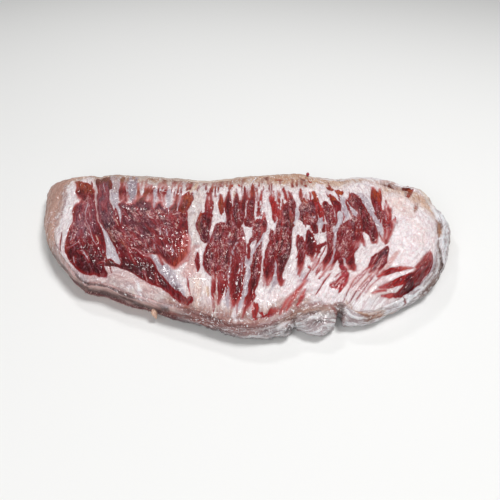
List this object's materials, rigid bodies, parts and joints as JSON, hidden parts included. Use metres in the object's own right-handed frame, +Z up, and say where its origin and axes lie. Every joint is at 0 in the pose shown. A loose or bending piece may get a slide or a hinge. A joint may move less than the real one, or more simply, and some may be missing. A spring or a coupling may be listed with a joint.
{
  "type": "slab of dried beef",
  "caption": "Flat slab of air-dried marbled beef, cut face up, with a rolled skin edge, a lobed front, a sloping dried end and a flat underside to lie on",
  "frame": {"origin": "on the flat underside, in the middle of the slab's bounding box", "axes": "+X along the slab's length towards the fat end, +Y from the lobed skin edge at the front to the dried back edge, +Z up out of the cut face"},
  "size_m": [0.2518, 0.1398, 0.0193],
  "materials": {
    "cured_beef": "moist, marbled: dark red lean in fibrous bundles, white and lavender-grey fat seams, tan dried margins and a grey skin"
  },
  "bodies": {
    "root": {"beef_slab": "cured_beef"}
  },
  "joints": []
}
